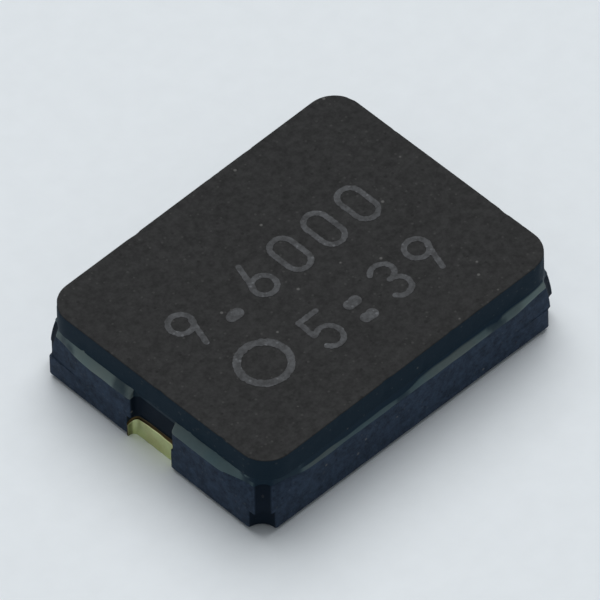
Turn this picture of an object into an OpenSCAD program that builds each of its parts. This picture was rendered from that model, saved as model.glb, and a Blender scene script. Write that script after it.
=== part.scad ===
// Two-terminal surface-mount crystal resonator in a glass-sealed ceramic package.
// +X runs along the package, +Z up; the origin is the centre of the package on the
// plane of the solder pads.

/* [Package] */
// Length of the ceramic base
base_l = 3.2; // [3.0:0.05:3.4]
// Width of the ceramic base
base_w = 2.5; // [2.3:0.05:2.7]
// Height from the solder pads to the top of the lid
overall_h = 0.76; // [0.76:0.01:0.90]
// Width of the ledge that a centred lid leaves round the top of the base
ledge = 0.03; // [0.03:0.005:0.06]
// How far along the package the lid is placed off centre
lid_shift = 0.018; // [0:0.002:0.018]
// Turn of the lid against the base, in degrees
lid_turn = 0.6; // [0:0.1:0.6]
// Thickness of the ceramic wall round the cavity, on the short sides
end_wall = 0.40; // [0.35:0.01:0.45]
// Thickness of the ceramic wall round the cavity, on the long sides
side_wall = 0.36; // [0.32:0.01:0.40]
// Corner radius of the cavity
cavity_r = 0.12; // [0.05:0.01:0.2]

/* [Layers] */
// Thickness of the lower ceramic layer
lower_layer_t = 0.21; // [0.18:0.01:0.22]
// Thickness of the lid
lid_t = 0.235; // [0.2:0.005:0.24]
// Thickness of the glass under the lid
glass_t = 0.07; // [0.04:0.005:0.08]
// Bare rim that the glass leaves at the edge of the base
glass_rim = 0.015; // [0.01:0.005:0.02]
// Corner radius of the glass ring
glass_corner_r = 0.24; // [0.22:0.01:0.3]
// Thickness of the solder pads
pad_t = 0.02; // [0.01:0.005:0.03]

/* [Lid] */
// Corner radius of the lid
lid_corner_r = 0.25; // [0.15:0.01:0.3]
// Radius of the softened top and bottom edges of the lid
lid_edge_r = 0.01; // [0.005:0.005:0.03]

/* [Grooves] */
// Width of the groove in the short sides of the upper layer
groove_w = 0.46; // [0.4:0.01:0.5]
// Depth of that groove
groove_d = 0.085; // [0.07:0.005:0.1]
// Corner radius of that groove
groove_r = 0.04; // [0.02:0.005:0.06]
// Radius of the quarter-round grooves in the corners of the upper layer
corner_groove_r = 0.105; // [0.08:0.005:0.13]
// Width of the plated groove in the short sides of the lower layer
lower_groove_w = 0.49; // [0.44:0.01:0.54]
// Depth of that groove
lower_groove_d = 0.08; // [0.08:0.005:0.1]
// Radius of the corner grooves of the lower layer
lower_corner_r = 0.14; // [0.12:0.005:0.15]
// How far the grooves of the two layers are off against each other, across the package
layer_shift = 0.03; // [0:0.005:0.04]

/* [Terminals] */
// Length of a solder pad, along the package
pad_l = 0.80; // [0.6:0.05:0.9]
// Width of a solder pad
pad_w = 1.80; // [1.5:0.05:1.9]
// Distance from a solder pad to the short side of the base
pad_inset = 0.07; // [0.05:0.01:0.07]
// Corner radius of the solder pads
pad_r = 0.06; // [0.02:0.01:0.1]
// Thickness of the plating in the grooves
plating_t = 0.015; // [0.01:0.005:0.015]
// Length of the inner mounting pads, along the package
inner_pad_l = 0.42; // [0.35:0.01:0.5]
// Width of the inner mounting pads
inner_pad_w = 0.52; // [0.4:0.01:0.6]
// Width of the buried tracks
track_w = 0.16; // [0.1:0.01:0.2]
// Thickness of the inner pads and tracks, half of it sunk in each layer
track_t = 0.012; // [0.008:0.001:0.016]

/* [Crystal] */
// Nominal frequency of the crystal in MHz, which sets its thickness
frequency = 8; // [8:1:16]
// Length of the quartz blank
blank_l = 2.12; // [1.8:0.01:2.15]
// Width of the quartz blank
blank_w = 1.44; // [1.2:0.01:1.5]
// Length of the bevel at each end of the blank
bevel_l = 0.40; // [0.2:0.01:0.5]
// Depth of that bevel on each face
bevel_d = 0.035; // [0.01:0.005:0.04]
// Length of an electrode
electrode_l = 1.20; // [0.8:0.01:1.3]
// Width of an electrode
electrode_w = 1.00; // [0.8:0.01:1.2]
// Width of the tab that leads an electrode to its corner
tab_w = 0.36; // [0.2:0.01:0.4]
// Length of the tab that is wrapped onto the other face
tab_wrap_l = 0.16; // [0.1:0.01:0.3]
// Thickness of an electrode film
film_t = 0.005; // [0.004:0.001:0.008]
// Gap under the blank that the adhesive fills
blank_gap = 0.018; // [0.012:0.001:0.025]
// Radius of an adhesive dot
adhesive_r = 0.20; // [0.15:0.01:0.22]
// Height of an adhesive dot before the blank is pressed into it
adhesive_h = 0.13; // [0.1:0.01:0.15]

/* [Hidden] */
$fn = 48;
lid_fn = 32;

// An AT-cut blank is this constant, in MHz mm, divided by its frequency thick
at_cut_constant = 1.661;
blank_t = at_cut_constant / frequency;

// Heights
base_h = overall_h - lid_t - glass_t;
layer_z = pad_t + lower_layer_t;
lid_z = base_h + glass_t;
inner_pad_z = layer_z + track_t / 2;
blank_z = inner_pad_z + blank_gap + film_t + blank_t / 2;

// The groove of the lower layer ends almost in half circles
lower_groove_r = lower_groove_d - 0.005;

// Plan sizes
lid_l = base_l - 2 * ledge;
lid_w = base_w - 2 * ledge;
cavity_l = base_l - 2 * end_wall;
cavity_w = base_w - 2 * side_wall;
pad_x = base_l / 2 - pad_inset - pad_l / 2;

// The blank stands on the two inner pads at the left end of the cavity
inner_pad_x = -cavity_l / 2 + inner_pad_l / 2;
inner_pad_y = cavity_w / 2 - inner_pad_w / 2;
tab_y = blank_w / 2 - tab_w / 2;
adhesive_x = -blank_l / 2 + 0.08;
track_y = cavity_w / 2 + track_w / 2;

black_ceramic = "#2f3033";
frit = "#4a4f4c";
gold = "#c9b56a";
quartz = "#dfe6ea";
silver = "#c8c9cc";
silver_paste = "#a7a49c";

// A rectangle with round corners, centred on the origin
module rounded_rectangle(l, w, r) {
    square([l - 2 * r, w], center = true);
    square([l, w - 2 * r], center = true);
    for (x = [-1, 1], y = [-1, 1]) {
        translate([x * (l / 2 - r), y * (w / 2 - r)]) circle(r = r);
    }
}

// Plan of a ceramic layer: slots across its short sides and round holes at its corners, all of
// them moved by shift across the package
module layer_outline(slot_w, slot_d, slot_r, hole_r, shift) {
    difference() {
        square([base_l, base_w], center = true);
        translate([0, shift]) for (x = [-1, 1]) {
            translate([x * base_l / 2, 0]) rounded_rectangle(2 * slot_d, slot_w, slot_r);
            for (y = [-1, 1]) {
                translate([x * base_l / 2, y * base_w / 2]) circle(r = hole_r);
            }
        }
    }
}

module upper_outline() {
    layer_outline(groove_w, groove_d, groove_r, corner_groove_r, -layer_shift / 2);
}

module lower_outline() {
    layer_outline(lower_groove_w, lower_groove_d, lower_groove_r, lower_corner_r, layer_shift / 2);
}

// Two ceramic layers fired into one tray, with room for the buried metal
module ceramic_base() {
    color(black_ceramic) difference() {
        union() {
            translate([0, 0, pad_t]) linear_extrude(lower_layer_t) lower_outline();
            translate([0, 0, layer_z]) linear_extrude(base_h - layer_z) difference() {
                upper_outline();
                rounded_rectangle(cavity_l, cavity_w, cavity_r);
            }
        }
        left_track();
        right_track();
    }
}

// Frit ring printed on the rim of the base
module glass_seal() {
    color(frit) translate([0, 0, base_h]) linear_extrude(glass_t) difference() {
        intersection() {
            rounded_rectangle(base_l - 2 * glass_rim, base_w - 2 * glass_rim, glass_corner_r);
            upper_outline();
        }
        rounded_rectangle(cavity_l, cavity_w, cavity_r);
    }
}

// One corner of the lid: a disc with rounded edges
module lid_corner() {
    rotate_extrude($fn = lid_fn) {
        square([lid_corner_r - lid_edge_r, lid_t]);
        translate([0, lid_edge_r]) square([lid_corner_r, lid_t - 2 * lid_edge_r]);
        for (z = [lid_edge_r, lid_t - lid_edge_r]) {
            translate([lid_corner_r - lid_edge_r, z]) circle(r = lid_edge_r, $fn = 16);
        }
    }
}

// Flat ceramic lid with softened edges
module lid() {
    color(black_ceramic) translate([lid_shift, 0, lid_z]) rotate([0, 0, lid_turn]) hull() {
        for (x = [-1, 1], y = [-1, 1]) {
            translate([x * (lid_l / 2 - lid_corner_r), y * (lid_w / 2 - lid_corner_r), 0])
                lid_corner();
        }
    }
}

// Plan of the lower layer's groove at the left end, pulled in by inset all round
module left_groove(inset) {
    translate([-base_l / 2, layer_shift / 2])
        rounded_rectangle(2 * (lower_groove_d - inset), lower_groove_w - 2 * inset,
                          lower_groove_r - inset);
}

// Solder pad at the left end, with the plating of the end groove above it
module outer_terminal() {
    linear_extrude(pad_t) difference() {
        translate([-pad_x, 0]) rounded_rectangle(pad_l, pad_w, pad_r);
        left_groove(plating_t);
    }
    linear_extrude(layer_z) intersection() {
        square([base_l, base_w], center = true);
        difference() {
            left_groove(0);
            left_groove(plating_t);
        }
    }
}

// A slab of the printed metal between the ceramic layers, given by its plan corners
module printed(from, to) {
    translate([from.x, from.y, layer_z - track_t / 2]) cube([to.x - from.x, to.y - from.y, track_t]);
}

// Short track from the left groove to the rear inner pad
module left_track() {
    groove_x = -base_l / 2 + lower_groove_d - plating_t / 2;
    pad_start = inner_pad_x - inner_pad_l / 2;
    printed([groove_x, -track_w / 2], [pad_start, track_w / 2]);
    printed([pad_start - track_w, -track_w / 2], [pad_start, inner_pad_y]);
    printed([pad_start - track_w / 2, inner_pad_y - inner_pad_w / 2],
            [pad_start + inner_pad_l, inner_pad_y + inner_pad_w / 2]);
}

// Long track from the right groove, under the front wall, to the front inner pad
module right_track() {
    groove_x = base_l / 2 - lower_groove_d + plating_t / 2;
    turn_x = cavity_l / 2 + track_w;
    pad_start = inner_pad_x - inner_pad_l / 2;
    printed([turn_x - track_w, -track_w / 2], [groove_x, track_w / 2]);
    printed([turn_x - track_w, -track_y - track_w / 2], [turn_x, track_w / 2]);
    printed([inner_pad_x - track_w / 2, -track_y - track_w / 2], [turn_x, -track_y + track_w / 2]);
    printed([pad_start, -inner_pad_y - inner_pad_w / 2 - track_w / 2],
            [pad_start + inner_pad_l, -inner_pad_y + inner_pad_w / 2]);
}

module left_terminal() {
    color(gold) {
        outer_terminal();
        left_track();
    }
}

module right_terminal() {
    color(gold) {
        mirror([1, 0, 0]) outer_terminal();
        right_track();
    }
}

// Side view of the blank, grown by g on every face: thick in the middle, bevelled at both ends
module blank_profile(g) {
    l = blank_l / 2 + g;
    t = blank_t / 2 + g;
    flat = blank_l / 2 - bevel_l;
    polygon([[-l, -t + bevel_d], [-flat, -t], [flat, -t], [l, -t + bevel_d],
             [l, t - bevel_d], [flat, t], [-flat, t], [-l, t - bevel_d]]);
}

// A slice of the blank of width w, with its middle at y
module blank_slice(g, w, y) {
    translate([0, y + w / 2, blank_z]) rotate([90, 0, 0]) linear_extrude(w) blank_profile(g);
}

module quartz_blank() {
    color(quartz) blank_slice(0, blank_w, 0);
}

// A box from x_from to x_to over the half of the blank on one face, 1 for upper and -1 for lower
module half_of_blank(face, x_from, x_to) {
    translate([x_from, -blank_w / 2, face > 0 ? blank_z : blank_z - blank_t])
        cube([x_to - x_from, blank_w, blank_t]);
}

// Electrode film on one face, with a tab along one side that wraps the left end of the blank
module electrode(face, side) {
    blank_end = -blank_l / 2 - film_t;
    difference() {
        union() {
            intersection() {
                blank_slice(film_t, electrode_w, 0);
                half_of_blank(face, -electrode_l / 2, electrode_l / 2);
            }
            intersection() {
                blank_slice(film_t, tab_w, tab_y * side);
                union() {
                    half_of_blank(face, blank_end, 0);
                    half_of_blank(-face, blank_end, blank_end + tab_wrap_l);
                }
            }
        }
        blank_slice(0, blank_w, 0);
    }
}

module upper_electrode() {
    color(silver) electrode(1, -1);
}

module lower_electrode() {
    color(silver) electrode(-1, 1);
}

// A dot of conductive adhesive that the corner of the blank is pressed into
module adhesive(side) {
    dome_r = (adhesive_r * adhesive_r + adhesive_h * adhesive_h) / (2 * adhesive_h);
    difference() {
        translate([adhesive_x, tab_y * side, inner_pad_z]) rotate_extrude() intersection() {
            translate([0, adhesive_h - dome_r]) circle(r = dome_r);
            square([adhesive_r, adhesive_h]);
        }
        blank_slice(film_t, tab_w, tab_y * side);
        blank_slice(0, blank_w, 0);
    }
}

module front_adhesive() {
    color(silver_paste) adhesive(-1);
}

module rear_adhesive() {
    color(silver_paste) adhesive(1);
}

ceramic_base();
glass_seal();
lid();
left_terminal();
right_terminal();
quartz_blank();
upper_electrode();
lower_electrode();
front_adhesive();
rear_adhesive();
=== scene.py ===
"""Two-terminal surface-mount crystal resonator: the finish of every surface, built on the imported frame."""
import math
import random
from collections import namedtuple

import bmesh
import bpy
import numpy as np
from bpy.props import FloatProperty, FloatVectorProperty, PointerProperty, StringProperty
from mathutils import Matrix, Vector, noise


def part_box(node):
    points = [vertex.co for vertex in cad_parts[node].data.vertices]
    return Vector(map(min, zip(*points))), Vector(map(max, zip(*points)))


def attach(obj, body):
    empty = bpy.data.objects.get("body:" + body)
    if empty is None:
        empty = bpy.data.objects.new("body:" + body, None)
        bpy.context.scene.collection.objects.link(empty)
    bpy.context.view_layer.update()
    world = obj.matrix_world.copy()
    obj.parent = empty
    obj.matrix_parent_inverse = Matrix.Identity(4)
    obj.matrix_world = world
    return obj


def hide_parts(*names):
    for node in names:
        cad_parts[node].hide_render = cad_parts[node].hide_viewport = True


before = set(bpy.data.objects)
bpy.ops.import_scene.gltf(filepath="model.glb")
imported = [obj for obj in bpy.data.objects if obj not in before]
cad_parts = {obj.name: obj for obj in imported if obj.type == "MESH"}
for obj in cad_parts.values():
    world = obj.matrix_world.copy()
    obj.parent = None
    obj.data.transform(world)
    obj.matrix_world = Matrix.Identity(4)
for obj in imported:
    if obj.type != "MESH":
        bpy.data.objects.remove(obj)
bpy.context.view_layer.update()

bl_info = {
    "name": "Crystal resonator",
    "version": (1, 0, 0),
    "blender": (4, 5, 0),
    "location": "3D View > Sidebar > Resonator",
    "description": "Finishes a ceramic surface-mount crystal resonator on its packed frame",
    "category": "Add Mesh",
}

MM = 0.001
MICRON = 0.001 * MM
BODY = "root"
SENSOR = 36.0
SUN_STRENGTH = 2.3
SUN_ANGLE = 60.0
SUN_PLACE = (0.34, 0.38, 0.86)
WORLD_STRENGTH = 0.32

# Corners of the package, as the signs of x and y and how far the upper layer is worn back there at its
# foot and at its top, and the distances from a corner over which the wear fades out, in millimetres
WORN_CORNERS = ((-1, -1, 0.0, 0.065), (1, -1, 0.008, 0.032), (-1, 1, 0.015, 0.045), (1, 1, 0.0, 0.03))
WORN_REACH = (0.08, 0.55)

# Stretches of the sealing glass, as x, y and reach in millimetres: where the pale frit breaks off,
# where it covers the whole slope up to the lid, and where it is thickest
SEAL_GAPS = (
    (-1.6, 0.90, 0.03), (-1.6, 0.33, 0.05), (-1.44, -1.25, 0.03), (-0.10, -1.25, 0.04), (0.92, -1.25, 0.06)
)
SEAL_WIDE = (
    (-1.6, 0.16, 1.08), (0.48, -1.25, 0.36), (1.25, -1.25, 0.24), (1.6, 0.3, 0.6), (-0.3, 1.25, 0.8)
)
SEAL_THICK = ((-1.6, 0.62, 0.22), (1.35, -1.25, 0.10), (0.4, 1.25, 0.4))


def length(name, description, millimetres):
    """A length property, shown in the scene's units."""
    return FloatProperty(
        name=name, description=description, default=millimetres * MM, unit="LENGTH", precision=6
    )


def angle(name, description, degrees):
    """An angle property, shown in degrees."""
    return FloatProperty(
        name=name, description=description, default=math.radians(degrees), subtype="ANGLE"
    )


def colour(name, description, rgb):
    """A colour property, linear red, green and blue."""
    return FloatVectorProperty(
        name=name, description=description, default=rgb, subtype="COLOR", min=0.0, max=1.0, size=3
    )


# ---------------------------------------------------------------- sizes and colours


class BodySizes(bpy.types.PropertyGroup):
    groove_depth: length("Groove depth", "Depth of the end grooves in the upper layer", 0.085)
    groove_width: length("Groove width", "Width of the end grooves in the upper layer", 0.46)
    groove_radius: length("Groove corner", "Corner radius of the end grooves in the upper layer", 0.04)
    corner_groove: length("Corner groove", "Radius of the corner grooves in the upper layer", 0.105)
    lower_depth: length("Lower groove depth", "Depth of the plated grooves in the lower layer", 0.08)
    lower_width: length("Lower groove width", "Width of the plated grooves in the lower layer", 0.49)
    lower_radius: length("Lower groove corner", "Corner radius of the plated grooves", 0.062)
    lower_corner: length("Lower corner groove", "Radius of the corner grooves in the lower layer", 0.14)
    layer_shift: length("Layer shift", "How far the layers' grooves are off, across", 0.03)
    lower_layer: length("Lower layer", "Thickness of the lower ceramic layer", 0.21)
    end_wall: length("End wall", "Wall between cavity and short side", 0.40)
    side_wall: length("Side wall", "Wall between cavity and long side", 0.36)
    cavity_radius: length("Cavity corner", "Corner radius of the cavity", 0.12)
    edge: length("Edge", "Radius of the worn edges of the base", 0.010)
    snap: length("Snap relief", "Unevenness of the snapped sides", 0.004)


class LidSizes(bpy.types.PropertyGroup):
    turn: angle("Turn", "Turn of the lid against the base", 0.6)
    corner: length("Corner", "Corner radius of the lid", 0.25)
    edge: length("Edge", "Radius of the lid's softened edges", 0.008)
    waviness: length("Waviness", "Unevenness of the lid's outline", 0.002)
    chips: length("Chips", "Depth of the small chips in the lid's edge", 0.006)


class MarkSizes(bpy.types.PropertyGroup):
    upper_row: StringProperty(name="Upper row", description="Digits of the upper row", default="9.6000")
    upper_start: length("Upper start", "Left end of the upper row, from the middle of the lid", -1.085)
    upper_base: length("Upper base", "Foot of the upper row, from the middle of the lid", 0.033)
    lower_row: StringProperty(name="Lower row", description="Digits of the lower row", default="5:39")
    lower_start: length("Lower start", "Left end of the lower row, from the middle of the lid", -0.363)
    lower_base: length("Lower base", "Foot of the lower row, from the middle of the lid", -0.705)
    glyph_width: length("Digit width", "Width of a digit, between stroke centres", 0.200)
    glyph_height: length("Digit height", "Height of a digit, between stroke centres", 0.372)
    stroke: length("Stroke", "Width of a laser stroke", 0.050)
    skin: length("Skin", "Height of the laser marks above the lid", 0.002)
    pitch: length("Pitch", "Distance from one digit to the next", 0.364)
    dot: length("Dot", "Width of a dot", 0.125)
    ring: length("Ring", "Diameter of the index ring, between stroke centres", 0.42)
    ring_x: length("Ring X", "Centre of the index ring along the lid", -0.81)
    ring_y: length("Ring Y", "Centre of the index ring across the lid", -0.43)


class SealSizes(bpy.types.PropertyGroup):
    climb: length("Climb", "How far the glass climbs the side of the lid", 0.005)
    skin: length("Skin", "How far the glass stays inside the outline of the base", 0.0012)
    spill: length("Spill", "How far the glass hangs over the edge of the base", 0.013)
    overlap: length("Overlap", "How far the glass reaches into the lid's side", 0.004)


class TerminalSizes(bpy.types.PropertyGroup):
    pad_length: length("Pad length", "Length of a solder pad", 0.80)
    pad_width: length("Pad width", "Width of a solder pad", 1.80)
    pad_inset: length("Pad inset", "Distance from pad to short side", 0.07)
    pad_corner: length("Pad corner", "Corner radius of a solder pad", 0.06)
    plating: length("Plating", "Thickness of the plating in the grooves", 0.017)
    plating_gap: length("Plating gap", "How far the plating's face stops short of the upper layer", 0.024)
    lip_dip: FloatProperty(
        name="Lip dip", description="Share of its height that the plating loses at its rear", default=0.38
    )
    inner_pad_length: length("Inner pad length", "Length of an inner mounting pad", 0.42)
    inner_pad_width: length("Inner pad width", "Width of an inner mounting pad", 0.52)
    track: length("Track", "Width of the buried tracks", 0.16)
    film: length("Film", "Thickness of the inner pads and tracks", 0.012)


class CameraPlace(bpy.types.PropertyGroup):
    azimuth: angle("Azimuth", "Turn of the view about the vertical", -42.657)
    elevation: angle("Elevation", "Height of the view above the horizon", 48.714)
    roll: angle("Roll", "Turn of the picture", 1.631)
    lens: FloatProperty(name="Lens", description="Focal length of the lens in millimetres", default=1200.0)
    frame_width: length("Frame width", "Width of the picture at the lid", 4.603)
    slide: length("Slide", "How far the lid's middle is right of the picture's", 0.0025)
    lift: length("Lift", "How far the lid's middle is above the picture's", 0.1815)


class Finishes(bpy.types.PropertyGroup):
    lid_ceramic: colour("Lid ceramic", "Fired ceramic of the lid", (0.0218, 0.0219, 0.0221))
    # The base ceramic's blue tint is a painted reflection of blue surroundings on dark grey ceramic.
    base_ceramic: colour("Base ceramic", "Fired ceramic of the base", (0.0262, 0.0405, 0.0660))
    # Painted shade and painted blue reflection: the lid's sides are darker and bluer than its top.
    lid_side: colour("Lid side", "Pressed sides of the lid", (0.0058, 0.0165, 0.0280))
    # Painted shade in the grooves, dark and bluish.
    cut_ceramic: colour("Cut ceramic", "Ceramic where it was punched", (0.0020, 0.0060, 0.0120))
    speck: colour("Speck", "Pale grains in the ceramic", (0.160, 0.160, 0.155))
    laser_grey: colour("Laser grey", "Surface left by the marking laser", (0.0458, 0.0478, 0.0510))
    seal_glass: colour("Seal glass", "Sealing glass", (0.138, 0.180, 0.178))
    # Painted shade of the sealing glass, with a painted blue reflection.
    seal_shadow: colour("Seal shadow", "Thin sealing glass", (0.006, 0.020, 0.036))
    # Painted reflection: the gold is tinted green to stand for reflected blue surroundings.
    gold_with_painted_reflection: colour("Gold", "Plating of the terminals", (0.65, 0.72, 0.39))
    gold_worn: colour("Worn gold", "Plating where it is worn", (0.46, 0.43, 0.20))
    # Bronze: a brown rim on the plating's top edge, and painted shade at its rear end.
    bronze: colour("Bronze", "Plating where it thins out", (0.060, 0.042, 0.016))
    floor: colour("Floor", "Pale floor", (0.80, 0.84, 0.87))


# ---------------------------------------------------------------- shader expressions


class Wire:
    """A value in a node tree. Arithmetic on it adds Math nodes, and | takes the larger of two."""

    def __init__(self, nodes, socket):
        self.nodes = nodes
        self.socket = socket

    def math(self, operation, first, second):
        return self.nodes.node("ShaderNodeMath", {"operation": operation}, {0: first, 1: second})

    def __add__(self, other):
        return self.math("ADD", self, other)

    __radd__ = __add__

    def __sub__(self, other):
        return self.math("SUBTRACT", self, other)

    def __rsub__(self, other):
        return self.math("SUBTRACT", other, self)

    def __mul__(self, other):
        return self.math("MULTIPLY", self, other)

    __rmul__ = __mul__

    def __or__(self, other):
        return self.math("MAXIMUM", self, other)

    def __lt__(self, other):
        return self.math("LESS_THAN", self, other)

    def between(self, low, high):
        """0 at low or less, 1 at high or more, smooth between."""
        return self.nodes.node(
            "ShaderNodeMapRange",
            {"interpolation_type": "SMOOTHSTEP"},
            {"Value": self, "From Min": low, "From Max": high},
        )


class Nodes:
    """A node tree, filled by one method that adds nodes."""

    def __init__(self, tree):
        self.tree = tree

    def node(self, kind, settings=None, sockets=None, out=0):
        """Adds a node, sets it up, fills its sockets with values or links, and returns one output."""
        made = self.tree.nodes.new(kind)
        for name, value in (settings or {}).items():
            setattr(made, name, value)
        for key, value in (sockets or {}).items():
            self.fill(made.inputs[key], value)
        return Wire(self, made.outputs[out])

    def fill(self, socket, value):
        """Links a wire to a socket, or sets the socket to a value."""
        if isinstance(value, Wire):
            self.tree.links.new(value.socket, socket)
        elif socket.type == "RGBA":
            socket.default_value = (*value, 1.0)
        else:
            socket.default_value = value


class Finish(Nodes):
    """A procedural material, with constants for the sockets of its shader."""

    def __init__(self, name, **constants):
        self.material = bpy.data.materials.new(name)
        self.material.use_nodes = True
        super().__init__(self.material.node_tree)
        self.shader = self.tree.nodes["Principled BSDF"]
        self.wire(**constants)

    def wire(self, **sockets):
        """Fills sockets of the shader with values or links, and returns the material."""
        for socket, value in sockets.items():
            self.fill(self.shader.inputs[socket.replace("_", " ")], value)
        return self.material

    def millimetres(self, stretch=(1.0, 1.0, 1.0)):
        """The object's own coordinates in millimetres, stretched along its axes."""
        place = self.node("ShaderNodeTexCoord", out="Object")
        return self.node(
            "ShaderNodeVectorMath",
            {"operation": "MULTIPLY"},
            {0: place, 1: Vector(stretch) / MM},
        )

    def grain(self, place, per_mm, detail=2.0, roughness=0.5):
        """Noise from 0 to 1."""
        return self.node(
            "ShaderNodeTexNoise",
            None,
            {"Vector": place, "Scale": per_mm, "Detail": detail, "Roughness": roughness},
        )

    def specks(self, place, per_mm, size, share):
        """1 in small round grains, in that share of the cells of a lattice."""
        cells = self.node("ShaderNodeTexVoronoi", None, {"Vector": place, "Scale": per_mm})
        chosen = Wire(self, cells.socket.node.outputs["Color"])
        pick = self.node("ShaderNodeSeparateColor", None, {0: chosen})
        return (1.0 - cells.between(size * 0.5, size)) * (pick < share)

    def mix(self, factor, first, second):
        """first where factor is 0 and second where it is 1, as colours."""
        return self.node(
            "ShaderNodeMix", {"data_type": "RGBA"}, {0: factor, 6: first, 7: second}, out=2
        )

    def relief(self, height, microns):
        """A surface normal from a height between 0 and 1."""
        return self.node(
            "ShaderNodeBump", None, {"Height": height, "Distance": microns * MICRON, "Strength": 1.0}
        )


def black_ceramic(name, base, cut, speck):
    """Matte fired ceramic with fine grain, soft clouds, pits and pale grains, with painted shade in the
    base's grooves and on the lid's sides.
    """
    finish = Finish(name, Specular_IOR_Level=0.07)
    place = finish.millimetres()
    cloud = finish.grain(place, 3.0, 4.0)
    lumps = finish.grain(place, 13.0, 2.0, 0.6)
    fine = finish.grain(place, 36.0, 3.0, 0.7)
    pits = finish.specks(place, 16.0, 0.26, 0.12)
    grains = finish.specks(place, 20.0, 0.26, 0.28)
    glint = finish.specks(place, 12.0, 0.20, 0.04)
    # How much painted shade covers the ceramic here; the shade also flattens the grain.
    share = finish.node("ShaderNodeAttribute", {"attribute_name": "cut"}, out="Fac")
    dark = [c * 0.25 for c in base]
    light = [c * 1.75 for c in base]
    tone = cloud * 0.28 + lumps.between(0.25, 0.75) * 0.34 + fine.between(0.25, 0.75) * 0.38
    tone = (tone - 0.5) * (1.0 - share * 0.5) + 0.5
    body = finish.mix(tone, dark, light)
    body = finish.mix(pits * 0.5, body, dark)
    body = finish.mix(share, body, cut)
    return finish.wire(
        Base_Color=finish.mix(grains * 0.12 + glint * 0.5, body, speck),
        Roughness=0.55 + fine * 0.2,
        Normal=finish.relief(fine * 0.6 + cloud * 0.2 + lumps * 0.2 + glint * 0.4 - pits * 0.3, 2.0),
    )


def laser_grey(base):
    """Rough grey skin where the laser has run."""
    finish = Finish("laser_mark", Specular_IOR_Level=0.3)
    place = finish.millimetres()
    pulses = finish.grain(place, 26.0, 3.0, 0.7)
    patches = finish.grain(place, 9.0, 2.0)
    bright = finish.specks(place, 24.0, 0.36, 0.30)
    tone = pulses.between(0.35, 0.65) * 0.6 + patches.between(0.35, 0.65) * 0.4
    body = finish.mix(tone, [c * 0.40 for c in base], [c * 1.55 for c in base])
    return finish.wire(
        Base_Color=finish.mix(bright * patches * 0.8, body, [c * 3.2 for c in base]),
        Roughness=0.66 + pulses * 0.2,
        Normal=finish.relief(pulses, 2.0),
    )


def seal_glass(glass, shadow):
    """Frit: pale and matte where it lies flat, darker where it breaks off, and painted shade where it climbs
    to the lid, under the lid and at the base's corners.
    """
    finish = Finish("sealing_glass", Specular_IOR_Level=0.08)
    place = finish.millimetres()
    patches = finish.grain(place, 1.6, 2.0)
    runs = finish.grain(place, 7.0, 3.0)
    bubbles = finish.grain(place, 34.0, 2.0)
    pale = finish.node("ShaderNodeAttribute", {"attribute_name": "pale"}, out="Fac")
    warm = [c * k for c, k in zip(glass, (1.15, 1.06, 1.0))]
    cold = [c * k for c, k in zip(glass, (0.80, 0.94, 1.0))]
    body = finish.mix(patches.between(0.35, 0.65), cold, warm)
    # thick is the share of the frit's own colour; the rest is painted shade.
    thick = pale * (0.78 + runs * 0.3 + bubbles * 0.2)
    return finish.wire(
        Base_Color=finish.mix(thick, shadow, body),
        Roughness=0.42 + thick * 0.16,
        Normal=finish.relief(bubbles * 0.6 + runs * 0.4, 1.2),
    )


def gold_plate(gold_with_painted_reflection, worn, bronze):
    """Satin gold over printed metal, with a brown rim along its top and painted brown shade at its rear end.
    """
    finish = Finish("gold_plate", Metallic=1.0)
    place = finish.millimetres()
    grit = finish.grain(place, 42.0, 3.0, 0.6)
    wear = finish.grain(place, 6.0, 3.0)
    browned = finish.node("ShaderNodeAttribute", {"attribute_name": "browned"}, out="Fac")
    body = finish.mix(wear.between(0.3, 0.8) * 0.5 + grit * 0.3, gold_with_painted_reflection, worn)
    return finish.wire(
        Base_Color=finish.mix((browned + wear * 0.3 - 0.15).between(0.1, 0.9), body, bronze),
        Roughness=0.24 + grit * 0.24,
        Normal=finish.relief(grit, 1.6),
    )


def quartz():
    """Lapped quartz, faintly milky."""
    finish = Finish("quartz", IOR=1.54, Transmission_Weight=0.85)
    lapping = finish.grain(finish.millimetres(), 45.0, 3.0)
    return finish.wire(
        Base_Color=finish.mix(lapping, (0.80, 0.85, 0.88), (0.93, 0.95, 0.97)),
        Roughness=0.18 + lapping * 0.2,
        Normal=finish.relief(lapping, 0.8),
    )


def silver_film():
    """Evaporated silver with fine lapping marks showing through."""
    finish = Finish("silver_film", Metallic=1.0)
    lapping = finish.grain(finish.millimetres((1.0, 8.0, 1.0)), 12.0, 3.0)
    return finish.wire(
        Base_Color=finish.mix(lapping, (0.74, 0.74, 0.76), (0.88, 0.88, 0.89)),
        Roughness=0.22 + lapping * 0.15,
        Normal=finish.relief(lapping, 0.6),
    )


def silver_paste():
    """Silver-filled adhesive, dull with glinting flakes."""
    finish = Finish("silver_paste")
    place = finish.millimetres()
    flakes = finish.specks(place, 40.0, 0.5, 0.5)
    lumps = finish.grain(place, 14.0, 3.0)
    return finish.wire(
        Base_Color=finish.mix(lumps, (0.30, 0.29, 0.27), (0.50, 0.48, 0.45)),
        Metallic=flakes * 0.8,
        Roughness=0.6 - flakes * 0.3,
        Normal=finish.relief(lumps * 0.6 + flakes * 0.4, 3.0),
    )


# ---------------------------------------------------------------- outlines


def steps(count):
    """Fractions at the middles of count equal parts of 0 to 1."""
    return [(i + 0.5) / count for i in range(count)]


def line(start, end, count):
    """Points along a straight stretch, without its ends."""
    return [Vector(start).lerp(Vector(end), t) for t in steps(count)]


def arc(centre, radius, start, end, count):
    """Points on an arc, both ends included; angles in degrees."""
    angles = [math.radians(start + (end - start) * i / count) for i in range(count + 1)]
    return [Vector((centre[0] + radius * math.cos(a), centre[1] + radius * math.sin(a))) for a in angles]


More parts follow.
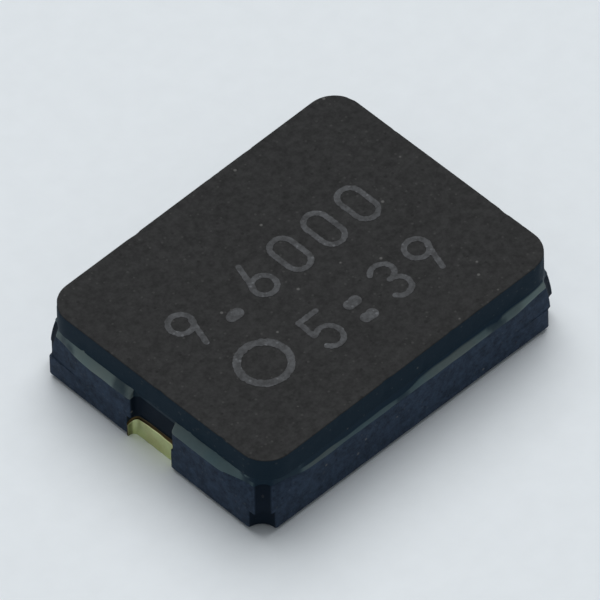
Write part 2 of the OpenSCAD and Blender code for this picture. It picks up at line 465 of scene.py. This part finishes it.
def closed(rear, front):
    """A closed outline from its quarters behind and in front of the +X axis, both given from that axis."""
    return (
        list(rear)
        + [Vector((-p.x, p.y)) for p in reversed(rear)]
        + [Vector((-p.x, -p.y)) for p in front]
        + [Vector((p.x, -p.y)) for p in reversed(front)]
    )


def rounded_rectangle(half_x, half_y, radius, across=34, corner=16, along=46):
    """A rectangle with round corners, and the numbers of points on a quarter of it."""
    quarter = line((half_x, 0), (half_x, half_y - radius), across)
    quarter += arc((half_x - radius, half_y - radius), radius, 0, 90, corner)
    quarter += line((half_x - radius, half_y), (0, half_y), along)
    return closed(quarter, quarter)


Layer = namedtuple("Layer", "depth width radius corner shift")


def layers(sizes):
    """The grooves of the lower and of the upper ceramic layer."""
    off = sizes.layer_shift / 2
    lower = Layer(sizes.lower_depth, sizes.lower_width, sizes.lower_radius, sizes.lower_corner, off)
    upper = Layer(sizes.groove_depth, sizes.groove_width, sizes.groove_radius, sizes.corner_groove, -off)
    return lower, upper


def layer_outline(layer, half, inset):
    """Outline of a ceramic layer with its grooves, all pulled in by inset."""
    radius, hole = layer.radius + inset, layer.corner + inset
    side, end = half.x - inset, half.y - inset
    wall = half.x - layer.depth + layer.radius

    def quarter(shift):
        middle = layer.width / 2 - layer.radius + shift
        near, far = math.asin(inset / hole), math.asin((shift + inset) / hole)
        floor = wall - radius
        points = line((floor, 0), (floor, middle), 8)
        points += arc((wall, middle), radius, 180, 90, 8)
        points += line((wall, middle + radius), (side, middle + radius), 4)
        points += line((side, middle + radius), (side, half.y + shift - hole * math.cos(near)), 34)
        first, last = 270 - math.degrees(near), 180 + math.degrees(far)
        points += arc((half.x, half.y + shift), hole, first, last, 16)
        points += line((half.x - hole * math.cos(far), end), (0, end), 46)
        return points

    return closed(quarter(layer.shift), quarter(-layer.shift))


def cavity_outline(sizes, half):
    """Outline of the cavity, with as many points as a layer's outline."""
    return rounded_rectangle(
        half.x - sizes.end_wall, half.y - sizes.side_wall, sizes.cavity_radius, 55, 16, 46
    )


def softened(outline):
    """An outline with its sharp corners eased."""
    count = len(outline)
    return [outline[i] * 0.5 + (outline[i - 1] + outline[(i + 1) % count]) * 0.25 for i in range(count)]


def worn(outline, half, height):
    """An outline of the upper layer pulled in at its worn corners; height is 0 at its foot, 1 at its top."""
    drawn = []
    for p in outline:
        pull = Vector((0.0, 0.0))
        for x, y, foot, head in WORN_CORNERS:
            fade = 1.0 - smooth((p - Vector((x * half.x, y * half.y))).length / MM, *WORN_REACH)
            pull += Vector((x, y)) * (foot + (head - foot) * height**1.5) * MM * fade
        drawn.append(p - pull)
    return drawn


def inward(outline, index):
    """Unit vector towards the inside of a counter-clockwise outline."""
    along = outline[(index + 1) % len(outline)] - outline[index - 1]
    return Vector((-along.y, along.x)).normalized()


def smooth(value, low, high):
    """0 at low or less, 1 at high or more, smooth between."""
    t = min(1.0, max(0.0, (value - low) / (high - low)))
    return t * t * (3 - 2 * t)


def unevenness(point, z, per_mm, seed):
    """Smooth noise from 0 to 1 at a place on a wall."""
    place = Vector((point.x, point.y, z)) / MM * per_mm + Vector((seed, 0.0, 0.0))
    return min(1.0, max(0.0, 0.5 + noise.noise(place)))


# ---------------------------------------------------------------- meshes


def ring_of(bm, outline, z):
    """A ring of vertices at one height."""
    return [bm.verts.new((p.x, p.y, z)) for p in outline]


def skin(bm, lower, upper):
    """A band of faces between two rings of equal count."""
    count = len(lower)
    for i in range(count):
        j = (i + 1) % count
        bm.faces.new((lower[i], lower[j], upper[j], upper[i]))


def finished(name, bm, material, replaces=(), sharp=35.0):
    """Turns a mesh into a piece that rides on the body and stands for its CAD nodes."""
    bmesh.ops.recalc_face_normals(bm, faces=bm.faces)
    mesh = bpy.data.meshes.new(name)
    bm.to_mesh(mesh)
    bm.free()
    mesh.shade_smooth()
    mesh.set_sharp_from_angle(angle=math.radians(sharp))
    for face in mesh.polygons:
        level = abs(face.normal.z) > 0.9999
        face.use_smooth = not level
    mesh.materials.append(material)
    piece = bpy.data.objects.new(name, mesh)
    bpy.context.scene.collection.objects.link(piece)
    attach(piece, BODY)
    for node in replaces:
        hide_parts(node)


def box_of(node):
    """Centre, half sizes, lowest and highest z of a CAD node."""
    low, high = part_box(node)
    return (low + high) / 2, (high - low) / 2, low.z, high.z


def edge_steps(radius, count=4):
    """Inset and height pairs of a quarter-round edge, from its face up to its side."""
    angles = [math.radians(90 * i / count) for i in range(count + 1)]
    return [(radius * (1 - math.sin(a)), radius * (1 - math.cos(a))) for a in angles]


# ---------------------------------------------------------------- pieces


class RESONATOR_OT_base(bpy.types.Operator):
    """Build the ceramic tray with its layers, grooves, cavity and snapped sides"""

    bl_idname = "resonator.base"
    bl_label = "Ceramic base"

    def execute(self, context):
        sizes = context.scene.resonator_body
        finishes = context.scene.resonator_finishes
        _, half, bottom, top = box_of("ceramic_base")
        seam = bottom + sizes.lower_layer
        foot = sizes.edge * 1.6
        bm = bmesh.new()
        cut = bm.verts.layers.float.new("cut")
        rings = []
        lower, upper = layers(sizes)

        def wall(z, layer, inset=0.0):
            sharp = softened(layer_outline(layer, half, inset))
            outline = worn(sharp, half, (z - seam) / (top - seam)) if z > seam else sharp
            drawn = []
            for p in outline:
                rough = 0.5 + 0.3 * unevenness(p, z, 2.3, 0.0) + 0.2 * unevenness(p, z, 9.0, 7.0)
                pull = Vector([(p[k] / half[k]) ** 9 for k in (0, 1)])
                drawn.append(p - pull * sizes.snap * rough)
            ring = ring_of(bm, drawn, z)
            # Painted shade in the grooves: the deeper inside the outline, the darker.
            for p, vert in zip(sharp, ring):
                depth = min(half.x - abs(p.x), half.y - abs(p.y)) - inset
                vert[cut] = 0.85 * smooth(depth, 0.002 * MM, 0.014 * MM)
            rings.append(ring)

        for inset, rise in edge_steps(foot):
            wall(bottom + rise, lower, inset)
        for vert in rings[0]:
            vert[cut] = 0.0
        low, high = bottom + foot, seam - MICRON
        for t in (0.2, 0.4, 0.6, 0.8, 1.0):
            wall(low + (high - low) * t, lower)
        low, high = seam + MICRON, top - sizes.edge
        for t in (0.0, 0.2, 0.4, 0.6, 0.8):
            wall(low + (high - low) * t, upper)
        for inset, rise in reversed(edge_steps(sizes.edge)):
            wall(top - rise, upper, inset)
        cavity = cavity_outline(sizes, half)
        for z in (top, seam):
            rings.append(ring_of(bm, cavity, z))
        reach = half.xy - Vector((sizes.end_wall, sizes.side_wall))
        inner = []
        for vert in rings[0]:
            x, y = (max(-reach[k], min(reach[k], vert.co[k])) for k in (0, 1))
            inner.append(bm.verts.new((x, y, bottom)))
        rings.insert(0, inner)
        for below, above in zip(rings, rings[1:]):
            skin(bm, below, above)
        bm.faces.new(rings[0][::-1])
        bm.faces.new(rings[-1])
        bmesh.ops.remove_doubles(bm, verts=inner, dist=MICRON / 10)
        ceramic = black_ceramic("base_ceramic", finishes.base_ceramic, finishes.cut_ceramic, finishes.speck)
        finished("base_tray", bm, ceramic, ["ceramic_base"])
        return {"FINISHED"}


def lid_place(sizes):
    """The lid's middle, its half sizes before its turn, and its lowest and highest z."""
    centre, half, bottom, top = box_of("lid")
    c, s = math.cos(sizes.turn), math.sin(sizes.turn)
    x, y = half.x - sizes.corner, half.y - sizes.corner
    scale = c * c - s * s
    straight = Vector(((x * c - y * s) / scale, (y * c - x * s) / scale))
    return centre.xy, straight + Vector((sizes.corner, sizes.corner)), bottom, top


class RESONATOR_OT_lid(bpy.types.Operator):
    """Build the flat ceramic lid with its round corners and worn edges"""

    bl_idname = "resonator.lid"
    bl_label = "Ceramic lid"

    def execute(self, context):
        sizes = context.scene.resonator_lid
        marks = context.scene.resonator_marks
        finishes = context.scene.resonator_finishes
        centre, half, bottom, top = lid_place(sizes)
        turn = Matrix.Rotation(sizes.turn, 2)
        top -= marks.skin
        bm = bmesh.new()
        cut = bm.verts.layers.float.new("cut")
        rings = []

        def rim(z, inset):
            outline = rounded_rectangle(half.x - inset, half.y - inset, sizes.corner - inset)
            drawn = []
            for i, p in enumerate(outline):
                wave = sizes.waviness * unevenness(p, z * 0.3, 1.1, 3.0)
                chip = max(0.0, unevenness(p, z, 11.0, 5.0) - 0.80) * 5.0 * sizes.chips
                drawn.append(turn @ (p + inward(outline, i) * (wave + chip)) + centre)
            rings.append(ring_of(bm, drawn, z))
            # Painted shade: below the top edge the lid takes its darker side colour.
            for vert in rings[-1]:
                vert[cut] = smooth(top - z, sizes.edge * 0.3, sizes.edge)

        for inset, rise in edge_steps(sizes.edge):
            rim(bottom + rise, inset)
        low, high = bottom + sizes.edge, top - sizes.edge
        for t in (0.25, 0.5, 0.75):
            rim(low + (high - low) * t, 0.0)
        for inset, rise in reversed(edge_steps(sizes.edge, 6)):
            rim(top - rise, inset)
        for lower, upper in zip(rings, rings[1:]):
            skin(bm, lower, upper)
        bm.faces.new(rings[0][::-1])
        bm.faces.new(rings[-1])
        ceramic = black_ceramic("lid_ceramic", finishes.lid_ceramic, finishes.lid_side, finishes.speck)
        finished("lid_plate", bm, ceramic, ["lid"])
        return {"FINISHED"}


def bow(cx, cy, rx, ry, start, end, count=14):
    """Points on an elliptical arc of a glyph."""
    angles = [math.radians(start + (end - start) * i / count) for i in range(count + 1)]
    return [Vector((cx + rx * math.cos(a), cy + ry * math.sin(a))) for a in angles]


def strokes_of(character, w, h):
    """Centre lines of a glyph in a box w wide and h high, with its corner at the origin."""
    r = w / 2
    loop = h * 0.27
    low = bow(r, loop, r, loop, -90, 270, 28)
    if character == "0":
        path = bow(r, h - r, r, r, 0, 180) + bow(r, r, r, r, 180, 360)
        return [path + [path[0]]]
    if character == "1":
        return [[Vector((0.2 * w, 0.8 * h)), Vector((r, h)), Vector((r, 0))]]
    if character == "2":
        return [bow(r, h - r, r, r, 165, -35) + [Vector((0, 0)), Vector((w, 0))]]
    if character == "3":
        return [bow(r, h * 0.76, r, h * 0.24, 150, -90) + bow(r, h * 0.26, r, h * 0.26, 90, -150)]
    if character == "4":
        return [[Vector((0.7 * w, 0)), Vector((0.7 * w, h)), Vector((0, 0.3 * h)), Vector((w, 0.3 * h))]]
    if character == "5":
        top = [Vector((w, h)), Vector((0.1 * w, h)), Vector((0.05 * w, 0.52 * h))]
        return [top + bow(r, h * 0.3, r, h * 0.3, 120, -150)]
    if character == "6":
        return [low, [Vector((0.08 * w, loop * 1.3)), Vector((0.45 * w, h))]]
    if character == "7":
        return [[Vector((0, h)), Vector((w, h)), Vector((0.35 * w, 0))]]
    if character == "8":
        return [low, bow(r, h * 0.77, r * 0.85, h * 0.23, -90, 270, 28)]
    if character == "9":
        return [[Vector((w - p.x, h - p.y)) for p in path] for path in strokes_of("6", w, h)]
    raise ValueError(f"no glyph for {character!r}")


def pulses_along(path, radius, chance):
    """Laser pulses along a centre line, as centres and radii."""
    pulses = []
    for start, end in zip(path, path[1:]):
        count = max(1, round((end - start).length / (radius * 0.55)))
        for i in range(count):
            shake = Vector((chance.uniform(-1, 1), chance.uniform(-1, 1))) * radius * 0.07
            pulses.append((start.lerp(end, i / count) + shake, radius * chance.uniform(0.86, 1.08)))
    pulses.append((path[-1], radius))
    return pulses


def lay_pulses(bm, pulses, step, bottom, top):
    """Fuses laser pulses into one thin layer, traced on a square lattice."""
    low = Vector([min(c[k] - r for c, r in pulses) - step for k in (0, 1)])
    high = Vector([max(c[k] + r for c, r in pulses) + step for k in (0, 1)])
    columns, rows = (math.ceil((high[k] - low[k]) / step) + 1 for k in (0, 1))
    x = low.x + step * np.arange(columns)[:, None]
    y = low.y + step * np.arange(rows)[None, :]
    reach = np.full((columns, rows), -1.0)
    for centre, radius in pulses:
        reach = np.maximum(reach, radius - np.hypot(x - centre.x, y - centre.y))
    corners = {}

    def corner(a, b, z):
        """The corner at lattice point a, or where the edge of the layer crosses from a to b."""
        a, b = sorted((a, b))
        if (a, b, z) not in corners:
            t = 0.0 if a == b else min(0.92, max(0.08, reach[a] / (reach[a] - reach[b])))
            spot = [low[k] + step * (a[k] + (b[k] - a[k]) * t) for k in (0, 1)]
            corners[a, b, z] = bm.verts.new((*spot, z))
        return corners[a, b, z]

    edges = []
    for i in range(columns - 1):
        for j in range(rows - 1):
            square = [(i, j), (i + 1, j), (i + 1, j + 1), (i, j + 1)]
            face = []
            for a, b in zip(square, square[1:] + square[:1]):
                if reach[a] > 0:
                    face.append((a, a))
                if (reach[a] > 0) != (reach[b] > 0):
                    face.append((a, b) if a < b else (b, a))
            if face:
                bm.faces.new([corner(*place, bottom) for place in face[::-1]])
                bm.faces.new([corner(*place, top) for place in face])
                edges += zip(face, face[1:] + face[:1])
    paired = set(edges)
    for start, end in edges:
        if (end, start) not in paired:
            sides = ((start, bottom), (end, bottom), (end, top), (start, top))
            bm.faces.new([corner(*place, z) for place, z in sides])


class RESONATOR_OT_marks(bpy.types.Operator):
    """Build the laser marks on the lid: plain digits in two rows and an index ring"""

    bl_idname = "resonator.marks"
    bl_label = "Laser marks"

    def execute(self, context):
        sizes = context.scene.resonator_marks
        finishes = context.scene.resonator_finishes
        lid = context.scene.resonator_lid
        centre, _, _, top = lid_place(lid)
        turn = Matrix.Rotation(lid.turn, 2)
        chance = random.Random(11)
        radius = sizes.stroke / 2
        bm = bmesh.new()

        def lay(paths, at, pulse=radius):
            pulses = [
                (turn @ (spot + at) + centre, reach)
                for path in paths
                for spot, reach in pulses_along(path, pulse, chance)
            ]
            lay_pulses(bm, pulses, sizes.stroke / 7, top - sizes.skin * 3, top)

        def dot(x, y):
            patch = [[Vector((-0.25, 0.0)) * sizes.dot, Vector((0.25, 0.0)) * sizes.dot]]
            lay(patch, Vector((x, y)), sizes.dot * 0.42)

        for text, start, base in (
            (sizes.upper_row, sizes.upper_start, sizes.upper_base),
            (sizes.lower_row, sizes.lower_start, sizes.lower_base),
        ):
            x = start
            for character in text:
                if character in ".:":
                    dot(x + sizes.glyph_width * 0.45, base + sizes.dot * 0.35)
                    if character == ":":
                        dot(x + sizes.glyph_width * 0.45, base + sizes.glyph_height * 0.62)
                else:
                    glyph = strokes_of(character, sizes.glyph_width, sizes.glyph_height)
                    lay(glyph, Vector((x, base)))
                x += sizes.pitch
        ring = bow(0, 0, sizes.ring / 2, sizes.ring / 2, 0, 360, 48)
        lay([ring], Vector((sizes.ring_x, sizes.ring_y)), radius * 1.4)
        finished("laser_marks", bm, laser_grey(finishes.laser_grey))
        return {"FINISHED"}


def inside(p, stretches, margin):
    """1 inside the stretches and 0 outside, easing over margin millimetres."""
    best = 0.0
    for x, y, reach in stretches:
        past = (p - Vector((x, y)) * MM).length - reach * MM
        best = max(best, 1.0 - smooth(past, 0.0, margin * MM))
    return best


def lid_side(p, lid):
    """Distance of a point from the lid's side, and the direction away from it."""
    centre, half, _, _ = lid_place(lid)
    turn = Matrix.Rotation(lid.turn, 2)
    q = turn.transposed() @ (p - centre)
    sign = Vector((math.copysign(1, q.x), math.copysign(1, q.y)))
    reach = Vector((abs(q.x) - half.x + lid.corner, abs(q.y) - half.y + lid.corner))
    if reach.x > 0 and reach.y > 0:
        away = reach.normalized()
    elif reach.x > reach.y:
        away = Vector((1, 0))
    else:
        away = Vector((0, 1))
    return reach.dot(away) - lid.corner, turn @ Vector((away.x * sign.x, away.y * sign.y))


class RESONATOR_OT_glass(bpy.types.Operator):
    """Build the sealing glass, with the uneven fillet that it leaves round the lid"""

    bl_idname = "resonator.glass"
    bl_label = "Sealing glass"

    def execute(self, context):
        body = context.scene.resonator_body
        lid = context.scene.resonator_lid
        seal = context.scene.resonator_seal
        finishes = context.scene.resonator_finishes
        _, half, _, base_top = box_of("ceramic_base")
        _, _, lid_bottom, _ = box_of("lid")
        thick = lid_bottom - base_top
        sharp = softened(layer_outline(layers(body)[1], half, seal.skin))
        outline = worn(sharp, half, 1.0)
        cavity = cavity_outline(body, half)
        bm = bmesh.new()
        pale = bm.verts.layers.float.new("pale")
        columns = []
        for p, q, inner in zip(outline, sharp, cavity):
            gap = half.xy - Vector((abs(q.x), abs(q.y)))
            end = smooth(gap.length, 0.09 * MM, 0.2 * MM) if gap.x < gap.y else 0.0
            wide = inside(p, SEAL_WIDE, 0.14)
            ragged = unevenness(p, 0.0, 6.0, 21.0) - 0.5
            distance, away = lid_side(p, lid)
            open_share = smooth(distance, 0.0, 0.01 * MM)
            full = 0.48 + 0.14 * wide + 0.38 * inside(p, SEAL_THICK, 0.12)
            # Painted shade at the base's corners, where the glass stands upright.
            full *= smooth(gap.length, 0.085 * MM, 0.12 * MM)
            # Painted shade where the lid hangs over the glass.
            hidden = (1.0 - open_share) * smooth(gap.length, 0.12 * MM, 0.2 * MM)
            # Painted highlight: pale streaks where the lid's lower edge catches the light.
            painted_edge_highlight = 0.9 * smooth(unevenness(p, 0.0, 14.0, 3.0), 0.35, 0.75)
            climb = seal.climb * open_share * (0.5 + unevenness(p, 0.0, 2.6, 9.0) + 1.8 * wide * end)
            travel = max(distance, 0.0) + seal.overlap
            border = 0.32 + 0.12 * ragged + (0.34 + 0.16 * end) * wide
            blur = 0.05 + (0.09 - 0.02 * end) * wide
            upper = smooth(wide, 0.6, 1.0) * end
            spill = -seal.spill * (1.0 + 0.6 * ragged)
            # Rows of the slope from its foot: share of the way in, share of the way up, paleness, lift;
            # paleness 0 is painted shade, as on the slope up to the lid
            section = (
                (0.00, 0.00, 1.0, spill),
                (0.04, 0.20, 1.0, 0.0),
                (border * 0.35, 0.20 + 0.28 * border, 1.0, 0.0),
                (border * 0.70, 0.20 + 0.56 * border, 1.0, 0.0),
                (border - blur, 0.20 + 0.80 * (border - blur), 1.0, 0.0),
                (border + blur, 0.20 + 0.80 * (border + blur), upper, 0.0),
                (1.00, 0.99, upper, 0.0),
                (1.02, 1.00, 0.7 * upper, climb),
                (1.02, 0.00, 0.0, 0.0),
            )
            column = []
            for across, up, light, lift in section:
                spot = p - away * travel * across
                run = 1.0 - 0.7 * inside(p + Vector((0.05, -0.03)) * MM * across, SEAL_GAPS, 0.05)
                column.append(bm.verts.new((spot.x, spot.y, base_top + thick * min(up, 1.0) + lift)))
                # Under the lid: the painted highlight on the row at the lid's side, painted shade on the
                # rest.
                veil = painted_edge_highlight if across == 1.0 else 0.06
                column[-1][pale] = light * run * full * open_share + hidden * veil
            column += [bm.verts.new((inner.x, inner.y, z)) for z in (lid_bottom, base_top)]
            columns.append(column)
        rings = list(zip(*columns))
        for lower, upper in zip(rings, rings[1:] + rings[:1]):
            skin(bm, lower, upper)
        glass = seal_glass(finishes.seal_glass, finishes.seal_shadow)
        finished("glass_fillet", bm, glass, ["glass_seal"], sharp=50.0)
        return {"FINISHED"}


def extruded(bm, outline, low, high):
    """A flat plate with that outline."""
    lower, upper = ring_of(bm, outline, low), ring_of(bm, outline, high)
    skin(bm, lower, upper)
    bm.faces.new(lower[::-1])
    bm.faces.new(upper)


class RESONATOR_OT_plating(bpy.types.Operator):
    """Build the gold-plated terminals: solder pads, groove linings, buried tracks and inner pads"""

    bl_idname = "resonator.plating"
    bl_label = "Plated terminals"

    def solder_pad(self, bm, sizes, half, side):
        """The pad under the base."""
        pad_x = half.x - sizes.pad_inset - sizes.pad_length / 2
        fray = 12 * MICRON
        rings = []
        # Height and inset of each row, from the pad's face to just inside the ceramic
        for rise, inset in ((0, 8), (3, 3), (9, 0), (21, 0)):
            reach = Vector((sizes.pad_length, sizes.pad_width)) / 2 - Vector((inset, inset)) * MICRON
            outline = rounded_rectangle(reach.x, reach.y, sizes.pad_corner, 40, 8, 20)
            drawn = []
            for i, p in enumerate(outline):
                ragged = p + inward(outline, i) * fray * unevenness(p, 0.0, 13.0, 4.0 + side)
                drawn.append(Vector((side * (pad_x - ragged.x), p.y)))
            rings.append(ring_of(bm, drawn, rise * MICRON))
        for lower, upper in zip(rings, rings[1:]):
            skin(bm, lower, upper)
        bm.faces.new(rings[0][::-1])
        bm.faces.new(rings[-1])

    def lining(self, bm, sizes, layer, half, side, seam):
        """The plating on the wall of the lower layer's groove, thinner at its top and lower at its rear end,
        with a brown rim along its top and painted brown shade at its rear end.
        """
        middle = layer.width / 2 - layer.radius
        wall = -half.x + layer.depth - layer.radius
        browned = bm.verts.layers.float["browned"]
        top = seam - sizes.plating_gap

        def path(inset):
            radius = layer.radius - inset
            rear = arc((wall, layer.shift + middle), radius, 90, 0, 16)
            front = arc((wall, layer.shift - middle), radius, 0, -65, 14)
            lip = Vector((-half.x + 4 * MICRON, rear[0].y))
            return [lip] + rear + line(rear[-1], front[0], 14) + front

        face = path(sizes.plating)
        back = path(0.0)
        edge = 0.006 * MM
        # Rows from the foot up: height, and share of the plating's thickness that is lost there
        rows = (
            (2 * MICRON, 0.0), (0.3 * top, 0.0), (0.6 * top, 0.0), (0.85 * top, 0.0),
            (top - edge, 0.05), (top - edge * 0.3, 0.3), (top, 0.7),
        )
        # Points along the path from the rear lip, over which its dip and its painted brown shade fade out
        dipped, browned_span = 22, (5, 11)
        fronts, backs = [], []
        for z, loss in rows:
            crest = smooth(z, top - edge * 0.9, top - edge * 0.2)
            rear_z = seam if z == top else z
            front, rear = [], []
            for i, (p, q) in enumerate(zip(face, back)):
                uneven = 0.25 * unevenness(p, z, 16.0, 6.0 + side)
                p = p + (q - p).normalized() * sizes.plating * (uneven + loss)
                dip = 1.0 - sizes.lip_dip * max(0.0, 1.0 - i / dipped)
                front.append(bm.verts.new((side * -p.x, p.y, z * dip)))
                rear.append(bm.verts.new((side * -q.x, q.y, rear_z * dip)))
                # Painted brown shade near the rear lip, and a brown rim along the top edge.
                front[-1][browned] = max(0.6 * (1.0 - smooth(i, *browned_span)), crest)
                rear[-1][browned] = 1.0
            fronts.append(front)
            backs.append(rear)
        rings = [front + rear[::-1] for front, rear in zip(fronts, backs)]
        for lower, upper in zip(rings, rings[1:]):
            skin(bm, lower, upper)
        for front, rear in ((fronts[0], backs[0]), (fronts[-1], backs[-1])):
            for i in range(len(front) - 1):
                bm.faces.new((front[i], front[i + 1], rear[i + 1], rear[i]))

    def execute(self, context):
        sizes = context.scene.resonator_terminals
        body = context.scene.resonator_body
        finishes = context.scene.resonator_finishes
        _, half, bottom, _ = box_of("ceramic_base")
        seam = bottom + body.lower_layer
        gold_with_painted_reflection = gold_plate(finishes.gold_with_painted_reflection, finishes.gold_worn, finishes.bronze)
        lower = layers(body)[0]
        cavity_x, cavity_y = half.x - body.end_wall, half.y - body.side_wall
        groove_x = half.x - body.groove_depth - body.snap
        track = sizes.track
        near, far = -cavity_x, -cavity_x + sizes.inner_pad_length
        pad_y, pad_half = cavity_y - sizes.inner_pad_width / 2, sizes.inner_pad_width / 2
        # Outlines of the buried metal: from a groove, past the cavity's wall, to an inner pad
        short = [
            (-groove_x, -track / 2), (near, -track / 2), (near, pad_y - pad_half), (far, pad_y - pad_half),
            (far, cavity_y), (near - track / 2, cavity_y), (near - track / 2, pad_y),
            (near - track, pad_y), (near - track, track / 2), (-groove_x, track / 2),
        ]
        start = (near + far) / 2 - track / 2
        turn = cavity_x + track
        long = [
            (start, -cavity_y - track), (turn, -cavity_y - track), (turn, -track / 2),
            (groove_x, -track / 2), (groove_x, track / 2), (cavity_x, track / 2),
            (cavity_x, -cavity_y), (far, -cavity_y), (far, -pad_y + pad_half),
            (near, -pad_y + pad_half), (near, -cavity_y - track / 2), (start, -cavity_y - track / 2),
        ]
        for name, node, side, route in (
            ("left_plating", "left_terminal", -1, short),
            ("right_plating", "right_terminal", 1, long),
        ):
            bm = bmesh.new()
            bm.verts.layers.float.new("browned")
            self.solder_pad(bm, sizes, half, side)
            self.lining(bm, sizes, lower, half, side, seam)
            extruded(bm, [Vector(p) for p in route], seam - sizes.film / 2, seam + sizes.film / 2)
            finished(name, bm, gold_with_painted_reflection, [node])
        return {"FINISHED"}


class RESONATOR_OT_crystal(bpy.types.Operator):
    """Finish the sealed inner parts: quartz blank, electrodes and adhesive"""

    bl_idname = "resonator.crystal"
    bl_label = "Crystal and electrodes"

    def execute(self, context):
        silver, paste = silver_film(), silver_paste()
        for node, material in (
            ("quartz_blank", quartz()),
            ("upper_electrode", silver),
            ("lower_electrode", silver),
            ("front_adhesive", paste),
            ("rear_adhesive", paste),
        ):
            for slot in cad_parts[node].material_slots:
                slot.material = material
        return {"FINISHED"}


class RESONATOR_OT_stage(bpy.types.Operator):
    """Set up the pale floor, the soft light and the camera"""

    bl_idname = "resonator.stage"
    bl_label = "Floor, light and camera"

    def floor(self, tint):
        finish = Finish("pale_floor", Roughness=0.85, Specular_IOR_Level=0.2)
        place = finish.millimetres()
        fibre = finish.grain(place, 5.0, 4.0)
        finish.wire(
            Base_Color=finish.mix(fibre, [c * 0.97 for c in tint], [min(1.0, c * 1.03) for c in tint]),
            Normal=finish.relief(fibre, 3.0),
        )
        bpy.ops.mesh.primitive_plane_add(size=400 * MM)
        plane = bpy.context.object
        plane.name = "floor"
        plane.data.materials.append(finish.material)

    def light(self, tint):
        scene = bpy.context.scene
        lamp = bpy.data.lights.new("overhead", "SUN")
        lamp.energy = SUN_STRENGTH
        lamp.angle = math.radians(SUN_ANGLE)
        sun = bpy.data.objects.new("overhead", lamp)
        sun.rotation_euler = Vector(SUN_PLACE).to_track_quat("Z", "Y").to_euler()
        scene.collection.objects.link(sun)
        world = bpy.data.worlds.new("studio")
        world.use_nodes = True
        scene.world = world
        nodes = Nodes(world.node_tree)
        background = nodes.tree.nodes["Background"]
        camera, glossy, through = (
            nodes.node("ShaderNodeLightPath", out=kind)
            for kind in ("Is Camera Ray", "Is Glossy Ray", "Is Transmission Ray")
        )
        seen = camera | glossy | through
        nodes.fill(background.inputs["Strength"], WORLD_STRENGTH + (1.0 - WORLD_STRENGTH) * seen)
        nodes.fill(background.inputs["Color"], tint)
        scene.view_settings.view_transform = "Standard"

    def camera(self, sizes):
        scene = bpy.context.scene
        lens = bpy.data.cameras.new("camera")
        lens.sensor_width = SENSOR
        lens.lens = sizes.lens
        azimuth, elevation = sizes.azimuth, sizes.elevation
        right = Vector((math.cos(azimuth), math.sin(azimuth), 0.0))
        back = Vector(
            (
                math.sin(azimuth) * math.cos(elevation),
                -math.cos(azimuth) * math.cos(elevation),
                math.sin(elevation),
            )
        )
        up = back.cross(right)
        turned = right * math.cos(sizes.roll) - up * math.sin(sizes.roll)
        raised = right * math.sin(sizes.roll) + up * math.cos(sizes.roll)
        lid_centre, _, _, lid_top = box_of("lid")
        aim = Vector((lid_centre.x, lid_centre.y, lid_top)) - turned * sizes.slide - raised * sizes.lift
        distance = sizes.frame_width / 2 / (SENSOR / 2 / sizes.lens)
        lens.clip_start = distance / 10
        lens.clip_end = distance * 10
        camera = bpy.data.objects.new("camera", lens)
        camera.matrix_world = Matrix.Translation(aim + back * distance) @ Matrix(
            (turned, raised, back)
        ).transposed().to_4x4()
        scene.collection.objects.link(camera)
        scene.camera = camera

    def execute(self, context):
        finishes = context.scene.resonator_finishes
        self.floor(finishes.floor)
        self.light(finishes.floor)
        self.camera(context.scene.resonator_camera)
        return {"FINISHED"}


PIECES = (
    RESONATOR_OT_base,
    RESONATOR_OT_plating,
    RESONATOR_OT_crystal,
    RESONATOR_OT_glass,
    RESONATOR_OT_lid,
    RESONATOR_OT_marks,
    RESONATOR_OT_stage,
)
GROUPS = {
    "resonator_body": BodySizes,
    "resonator_lid": LidSizes,
    "resonator_seal": SealSizes,
    "resonator_marks": MarkSizes,
    "resonator_terminals": TerminalSizes,
    "resonator_finishes": Finishes,
    "resonator_camera": CameraPlace,
}


class RESONATOR_PT_panel(bpy.types.Panel):
    """Lists the pieces and their sizes"""

    bl_idname = "RESONATOR_PT_panel"
    bl_label = "Crystal resonator"
    bl_space_type = "VIEW_3D"
    bl_region_type = "UI"
    bl_category = "Resonator"

    def draw(self, context):
        for piece in PIECES:
            self.layout.operator(piece.bl_idname)
        for name, group in GROUPS.items():
            box = self.layout.box()
            for field in group.__annotations__:
                box.prop(getattr(context.scene, name), field)


CLASSES = (*GROUPS.values(), *PIECES, RESONATOR_PT_panel)


def register():
    for cls in CLASSES:
        bpy.utils.register_class(cls)
    for name, group in GROUPS.items():
        setattr(bpy.types.Scene, name, PointerProperty(type=group))


def unregister():
    for name in GROUPS:
        delattr(bpy.types.Scene, name)
    for cls in reversed(CLASSES):
        bpy.utils.unregister_class(cls)


def main():
    """Builds every piece and the stage."""
    register()
    for piece in PIECES:
        group, name = piece.bl_idname.split(".")
        getattr(getattr(bpy.ops, group), name)()


if __name__ == "__main__":
    main()
